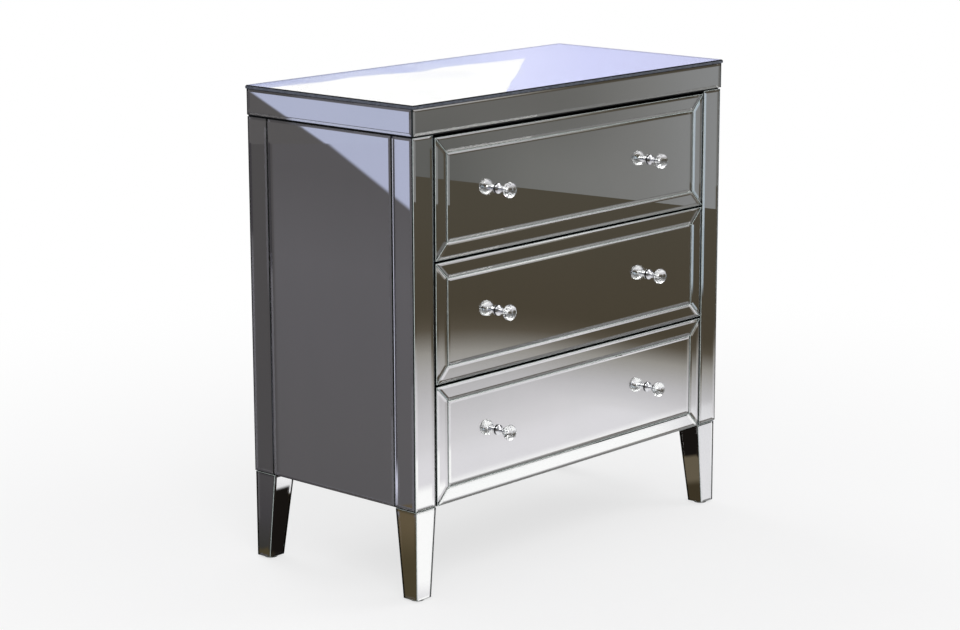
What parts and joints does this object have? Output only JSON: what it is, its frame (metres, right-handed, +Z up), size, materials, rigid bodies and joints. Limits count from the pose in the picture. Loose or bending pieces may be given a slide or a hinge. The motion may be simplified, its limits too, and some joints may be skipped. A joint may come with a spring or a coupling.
{
  "type": "mirrored chest of drawers",
  "caption": "Straight mirror-clad chest with full-width sliding drawers, clear ball knobs and short tapered legs, for storing clothes or linen.",
  "frame": {"origin": "on the floor, in the middle of the outline box of the whole chest, knobs included", "axes": "+Z up, -Y towards the front with the drawers, +X to the right of someone who faces the front"},
  "size_m": [0.78, 0.4082, 0.8],
  "materials": {
    "mirror": "polished silvered glass with bevelled edges",
    "top_mirror": "polished silvered glass with flat polished edges",
    "black_board": "fibreboard, satin black paint",
    "drawer_board": "drawer box board, dark wood-grain foil",
    "drawer_panel": "thin hardboard, dark foil",
    "crystal": "clear cut glass",
    "chrome": "polished chrome plate",
    "zinc_steel": "bright zinc plate",
    "glide": "matt nylon"
  },
  "bodies": {
    "carcass": {"back_panel": "black_board", "bottom_board": "black_board", "corner_posts": "black_board", "divider_rails": "black_board", "foot_glides": "glide", "frieze_mirror_front": "mirror", "frieze_mirror_left": "mirror", "frieze_mirror_right": "mirror", "frieze_rails": "black_board", "leg_core_front_left": "black_board", "leg_core_front_right": "black_board", "leg_core_rear_left": "black_board", "leg_core_rear_right": "black_board", "leg_mirrors_front_left": "mirror", "leg_mirrors_front_right": "mirror", "leg_mirrors_rear_left": "mirror", "leg_mirrors_rear_right": "mirror", "post_mirror_left": "mirror", "post_mirror_right": "mirror", "runner_channels": "zinc_steel", "side_board_left": "black_board", "side_board_right": "black_board", "side_mirror_left_centre": "mirror", "side_mirror_left_front": "mirror", "side_mirror_left_rear": "mirror", "side_mirror_right_centre": "mirror", "side_mirror_right_front": "mirror", "side_mirror_right_rear": "mirror", "top_board": "black_board", "top_mirror": "top_mirror"},
    "drawer_1": {"drawer_1_back": "drawer_board", "drawer_1_border_mirrors": "mirror", "drawer_1_bottom": "drawer_panel", "drawer_1_centre_mirror": "mirror", "drawer_1_front_board": "black_board", "drawer_1_knob_balls": "crystal", "drawer_1_knob_bases": "chrome", "drawer_1_knob_screws": "zinc_steel", "drawer_1_runners": "zinc_steel", "drawer_1_sides": "drawer_board"},
    "drawer_2": {"drawer_2_back": "drawer_board", "drawer_2_border_mirrors": "mirror", "drawer_2_bottom": "drawer_panel", "drawer_2_centre_mirror": "mirror", "drawer_2_front_board": "black_board", "drawer_2_knob_balls": "crystal", "drawer_2_knob_bases": "chrome", "drawer_2_knob_screws": "zinc_steel", "drawer_2_runners": "zinc_steel", "drawer_2_sides": "drawer_board"},
    "drawer_3": {"drawer_3_back": "drawer_board", "drawer_3_border_mirrors": "mirror", "drawer_3_bottom": "drawer_panel", "drawer_3_centre_mirror": "mirror", "drawer_3_front_board": "black_board", "drawer_3_knob_balls": "crystal", "drawer_3_knob_bases": "chrome", "drawer_3_knob_screws": "zinc_steel", "drawer_3_runners": "zinc_steel", "drawer_3_sides": "drawer_board"}
  },
  "joints": [
    {"name": "drawer_1_slide", "type": "slide", "parent": "carcass", "child": "drawer_1", "axis": [0, -1, 0], "range_m": [0, 0.26]},
    {"name": "drawer_2_slide", "type": "slide", "parent": "carcass", "child": "drawer_2", "axis": [0, -1, 0], "range_m": [0, 0.26]},
    {"name": "drawer_3_slide", "type": "slide", "parent": "carcass", "child": "drawer_3", "axis": [0, -1, 0], "range_m": [0, 0.26]}
  ]
}
